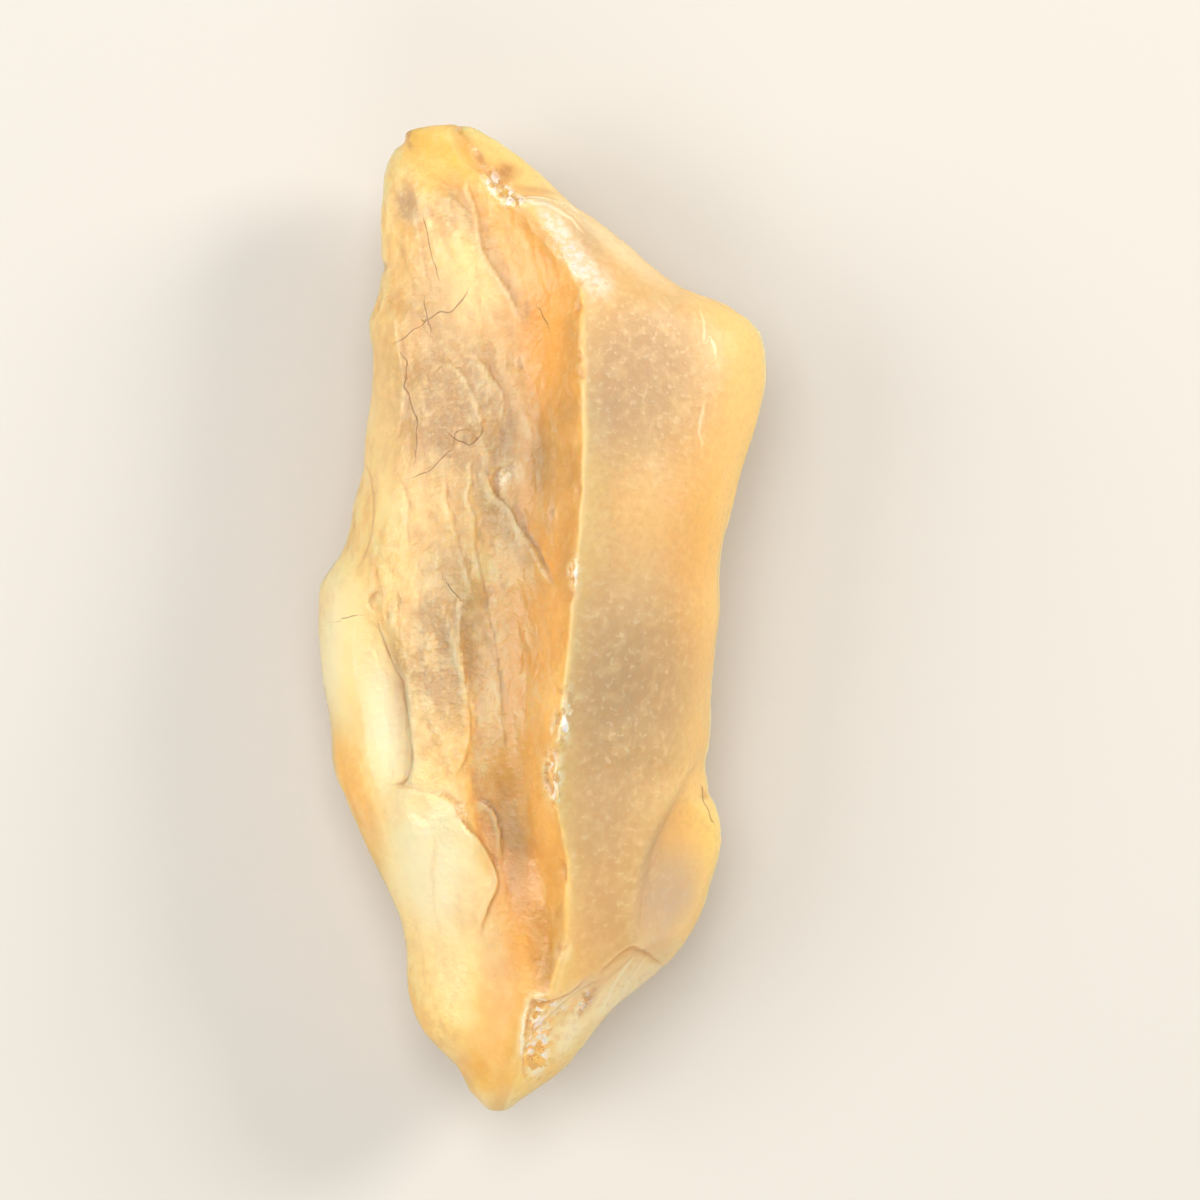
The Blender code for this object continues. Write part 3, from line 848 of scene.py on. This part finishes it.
class Glass(Finish):
    """The shard's cloudy glass. Each step lays one kind of colour over the colour it is given."""

    def __init__(self, name):
        super().__init__(name)
        place = self.add("ShaderNodeTexCoord", output="Object")
        place = self.add("ShaderNodeVectorMath", {"operation": "SCALE"}, {0: place, 3: 1 / MM})
        self.grain = self.noise(place, GRAIN_PER_MM, 3.0)
        cells = {"Vector": place, "Scale": GLINTS_PER_MM}
        facet = self.add("ShaderNodeTexVoronoi", {}, cells, "Color")
        self.facet = self.add("ShaderNodeSeparateColor", {}, {"Color": facet})
        self.clouds = self.attribute("clouds")
        self.ridge = self.attribute("past_ridge")
        self.left = self.attribute("left_face")
        ridge_edge = self.ridge + (self.grain - 0.5) * 0.12
        self.right = self.attribute("right_face") * ridge_edge.between(-0.03, 0.06)
        self.depth = self.attribute("depth")
        self.creamy = self.attribute("creamy")
        self.ambery = self.attribute("ambery")
        self.sparkly = self.attribute("sparkly")
        self.gleam = self.attribute("gleam") * (0.45 + self.grain.between(0.38, 0.58) * 0.55)
        self.flank = self.left * self.ridge.between(*FLANK_BAND)
        greyish = self.attribute("greyish")
        deep = self.depth.between(*DEEP_FROST)
        self.frost = self.right * (deep * (1 - greyish) * 0.35 + greyish)
        streaked = self.left * (1 - self.creamy * 0.9) * (1 - self.ambery * 0.6)
        self.streaked = streaked * (1 - self.flank * 0.6)

    def body(self):
        """Honey glass with cream, pale and amber parts, paler at its thin rim as the tint of thin
        glass and a painted glow; the flank's amber is partly painted shade, the pale parts partly
        painted light.
        """
        clouds = self.clouds
        # Painted glow at the thin rim, partly also the paler tint of thin glass.
        colour = self.blend(self.depth.between(*RIM_GLOW_DEPTH), RIM_TINT_AND_GLOW, HONEY)
        # Amber on the ridge's left flank: partly the deeper colour of thick glass, partly painted
        # shade.
        colour = self.blend(self.flank * (0.8 + clouds * 0.5), colour, AMBER)
        colour = self.blend(self.creamy * (0.85 + clouds * 0.4), colour, CREAM)
        # Pale patches, much of them painted highlights, painted light and painted glow.
        colour = self.blend(self.attribute("pale") * 0.9, colour, PALE)
        return self.blend(self.ambery * 0.9, colour, AMBER)

    def stained(self, colour):
        """Cloudy mauve and grey patches, painted brown shade in the hollows and along the ridge's
        foot, and the frost of the right face.
        """
        clouds = self.clouds
        speckled = (self.grain - 0.5) * 1.1 + clouds * 0.35
        colour = self.blend(self.attribute("smoky") * (0.85 + speckled), colour, MAUVE)
        colour = self.blend(self.attribute("shadowy") * (0.7 + clouds * 0.5), colour, SHADE)
        # Painted shade in a strip along the foot of the ridge's left flank.
        ridge_foot_shade = self.left * self.ridge.between(*RIDGE_FOOT_BAND) * (0.45 + clouds * 0.6)
        colour = self.blend(ridge_foot_shade, colour, SHADE)
        colour = self.blend(self.frost, colour, FROST)
        colour = self.blend(self.attribute("slaty") * (0.85 + speckled), colour, SLATE)
        return self.blend(self.attribute("pearly") * (0.9 + speckled * 0.6), colour, PEARL)

    def flecked(self, colour):
        """Light and dark flecks on the frosted right face."""
        mottle = self.attribute("mottle")
        grain = self.grain
        colour = self.blend(mottle.between(-0.2, 0.7) * 0.24 * self.frost, colour, CREAM)
        colour = self.blend((1 - grain.between(0.30, 0.55)) * 0.25 * self.right, colour, CREASE)
        return self.blend(grain.between(0.56, 0.68) * 0.28 * self.frost, colour, PALE)

    def flowing(self, colour):
        """Light and dark streaks along the flow of the left face."""
        mottle = self.attribute("mottle")
        streaks = self.attribute("streaks")
        streaked = self.streaked
        colour = self.blend(mottle.between(-0.1, 0.7) * 0.35 * streaked, colour, CREAM)
        colour = self.blend((1 - mottle.between(-0.6, 0.1)) * 0.28 * streaked, colour, CREASE)
        colour = self.blend(self.grain.between(0.52, 0.66) * 0.25 * streaked, colour, CREAM)
        colour = self.blend(streaks.between(0.0, 0.6) * 0.35 * streaked, colour, CREAM)
        return self.blend((streaks * -1).between(0.0, 0.6) * 0.35 * streaked, colour, CREASE)

    def worn(self, colour):
        """Pale chips, a painted highlight on the gleaming bevel, a darker line along the ridge's
        crest, painted shade in the hollows and painted highlights on the high spots.
        """
        colour = self.blend(self.attribute("chipped") * 0.55, colour, CREAM)
        # Painted highlight on the gleaming bevel.
        colour = self.blend(self.gleam, colour, PAINTED_HIGHLIGHT_WHITE)
        crest = (1 - abs(self.ridge + 0.03).between(*CREST_LINE)) * (0.45 + self.clouds * 0.6)
        colour = self.blend(crest * (self.left + self.right) * 0.8, colour, CREASE)
        proud = self.attribute("proud")
        off_crest = abs(self.ridge).between(*OFF_CREST)
        # Painted shade in the hollows of the relief and painted highlights on its high spots.
        colour = self.blend((proud * -1).between(*PROUD) * 0.6, colour, CREASE)
        return self.blend(proud.between(*PROUD) * 0.35 * off_crest, colour, CREAM)

    def sparkling(self, colour):
        """Painted glints in the chips of fresh glass, as painted highlights and painted shade on
        their facets, and small brown stains and painted shadows.
        """
        sparkly = self.sparkly
        facet = self.facet
        # Painted glints: painted highlights and painted shade on the facets of the chips.
        colour = self.blend(sparkly * facet.between(0.45, 0.70) * 0.8, colour, PALE)
        white = sparkly.between(0.4, 0.9) * facet.between(0.60, 0.75)
        colour = self.blend(white, colour, PAINTED_HIGHLIGHT_WHITE)
        dark = sparkly * (1 - facet.between(0.08, 0.25)) * 0.5
        colour = self.blend(dark, colour, CREASE_BROWN)
        brown = self.attribute("brown") * (0.6 + self.grain.between(0.35, 0.55) * 0.4)
        return self.blend(brown, colour, CREASE_BROWN)

    def lined(self, colour):
        """Painted shade in the creases under the ledges, bright flow lines, and hairline cracks."""
        crease = 1 - abs(self.attribute("crease_side") + 0.05).between(*CREASE_LINE)
        crease = crease * self.attribute("crease_strength")
        # Painted shade along the creases at the foot of the ledges.
        colour = self.blend(crease * 0.48, colour, CREASE_BROWN)
        bright = 1 - abs(self.attribute("bright_side")).between(*BRIGHT_LINE)
        colour = self.blend(bright * self.attribute("bright_strength"), colour, PALE)
        for name in ("crack", "branch"):
            side = abs(self.attribute(name + "_side"))
            crack = 1 - side.between(CRACK_WIDTH * 0.4, CRACK_WIDTH)
            crack = crack * self.attribute(name + "_strength")
            colour = self.blend(crack * 0.75, colour, CRACK_BROWN)
        return colour

    def roughness(self):
        """Rougher on the frosted face, and smoother where the glass gleams or sparkles."""
        rough_face = ROUGHNESS + self.right * FROSTED_ROUGHNESS + (self.grain - 0.5) * 0.15
        return rough_face - self.gleam * 0.20 - self.sparkly * 0.22

    def bump(self):
        """Fine grain all over, more of it on the streaked face, and facets in the chips."""
        height = self.grain * (GRAIN_HEIGHT + self.streaked * GRAIN_HEIGHT)
        height = height + self.sparkly * self.facet * GLINT_HEIGHT
        inputs = {"Strength": BUMP_STRENGTH, "Distance": 1.0, "Height": height}
        return self.add("ShaderNodeBump", {}, inputs)


def glass_material():
    glass = Glass("desert_glass_skin")
    colour = glass.stained(glass.body())
    colour = glass.flowing(glass.flecked(colour))
    colour = glass.sparkling(glass.worn(colour))
    colour = glass.lined(colour)
    shader = glass.add("ShaderNodeBsdfPrincipled", {"subsurface_method": "RANDOM_WALK"}, {
        "Base Color": colour,
        "Roughness": glass.roughness(),
        "Normal": glass.bump(),
        "IOR": GLASS_INDEX,
        "Transmission Weight": CLEARNESS,
        "Subsurface Weight": 1.0,
        "Subsurface Radius": SCATTER_COLOUR,
        "Subsurface Scale": SCATTER_REACH,
        "Coat Weight": glass.gleam * SHINE + glass.sparkly * SHINE,
        "Coat Roughness": SHINE_ROUGHNESS,
        "Coat IOR": GLASS_INDEX,
    })
    tint = glass.add("ShaderNodeVolumeAbsorption", {}, {"Color": TINT, "Density": TINT_DENSITY})
    glass.add("ShaderNodeOutputMaterial", {}, {"Surface": shader, "Volume": tint})
    return glass.material


# The studio: a pale floor, soft light and a camera that looks straight down on the face. The
# photo's side, the shard's length in it and the shard's middle in it are in pixels.
PHOTO_SIDE = 1200
PHOTO_SHARD_LENGTH = 985
PHOTO_SHARD_MIDDLE = (540.0, 618.5)
SENSOR_WIDTH = 36.0
NEAREST_SEEN = 0.01
CAMERA_DISTANCE = 0.26
MIDDLE_HEIGHT = 0.005
FLOOR_COLOUR = (0.42, 0.405, 0.38, 1)
FLOOR_ROUGHNESS = 0.7
FLOOR_HALF_SIDE = 2.0
SKY_COLOUR = (1.0, 0.98, 0.95, 1)
SKY_STRENGTH = 0.32

# Square lights, as (place, side, power, colour). They all look at the middle of the shard.
LIGHTS = {
    "key": ((0.29, 0.15, 0.17), 0.12, 1.5, (1.0, 0.95, 0.86)),
    "left": ((-0.28, 0.02, 0.22), 0.20, 0.95, (1.0, 0.96, 0.90)),
    "low": ((0.03, -0.28, 0.20), 0.20, 0.32, (1.0, 0.96, 0.90)),
    "top": ((-0.05, 0.12, 0.42), 0.30, 1.7, (1.0, 0.97, 0.94)),
}


def floor():
    bm = bmesh.new()
    bmesh.ops.create_grid(bm, x_segments=1, y_segments=1, size=FLOOR_HALF_SIDE)
    mesh = bpy.data.meshes.new("floor")
    bm.to_mesh(mesh)
    bm.free()
    obj = bpy.data.objects.new("floor", mesh)
    bpy.context.scene.collection.objects.link(obj)
    finish = Finish("pale_floor")
    inputs = {"Base Color": FLOOR_COLOUR, "Roughness": FLOOR_ROUGHNESS}
    shader = finish.add("ShaderNodeBsdfPrincipled", {}, inputs)
    finish.add("ShaderNodeOutputMaterial", {}, {"Surface": shader})
    mesh.materials.append(finish.material)
    obj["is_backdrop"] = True


def soft_light(name, place, side, power, colour):
    light = bpy.data.lights.new(name, "AREA")
    light.shape = "RECTANGLE"
    light.size = side
    light.size_y = side
    light.energy = power
    light.color = colour
    obj = bpy.data.objects.new(name, light)
    obj.location = place
    aim = Vector((0, 0, MIDDLE_HEIGHT)) - Vector(place)
    obj.rotation_euler = aim.to_track_quat("-Z", "Y").to_euler()
    bpy.context.scene.collection.objects.link(obj)


def camera_over(box):
    """A camera straight above the face, which frames the shard as the photo does."""
    low, high = (Vector(corner) for corner in box)
    pixel = (high.y - low.y) / PHOTO_SHARD_LENGTH
    centre = (low + high) / 2
    camera = bpy.data.cameras.new("camera")
    camera.sensor_width = SENSOR_WIDTH
    camera.lens = camera.sensor_width * CAMERA_DISTANCE / (PHOTO_SIDE * pixel)
    camera.clip_start = NEAREST_SEEN
    obj = bpy.data.objects.new("camera", camera)
    obj.location = (
        centre.x + (PHOTO_SIDE / 2 - PHOTO_SHARD_MIDDLE[0]) * pixel,
        centre.y - (PHOTO_SIDE / 2 - PHOTO_SHARD_MIDDLE[1]) * pixel,
        low.z + MIDDLE_HEIGHT + CAMERA_DISTANCE,
    )
    bpy.context.scene.collection.objects.link(obj)
    bpy.context.scene.camera = obj


def sky():
    world = bpy.data.worlds.new("soft_sky")
    world.use_nodes = True
    background = world.node_tree.nodes["Background"]
    background.inputs["Color"].default_value = SKY_COLOUR
    background.inputs["Strength"].default_value = SKY_STRENGTH
    bpy.context.scene.world = world


def studio(box):
    camera_over(box)
    sky()
    bpy.context.scene.view_settings.view_transform = "Standard"
    for name, settings in LIGHTS.items():
        soft_light(name, *settings)


piece = shard(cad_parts["glass_shard"])
piece.data.materials.append(glass_material())
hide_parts("glass_shard")
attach(piece, "root")
floor()
studio(solid_box)

boxes = {"solid": solid_box, "visual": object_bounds()}
boxes = {name: [list(corner) for corner in box] for name, box in boxes.items()}
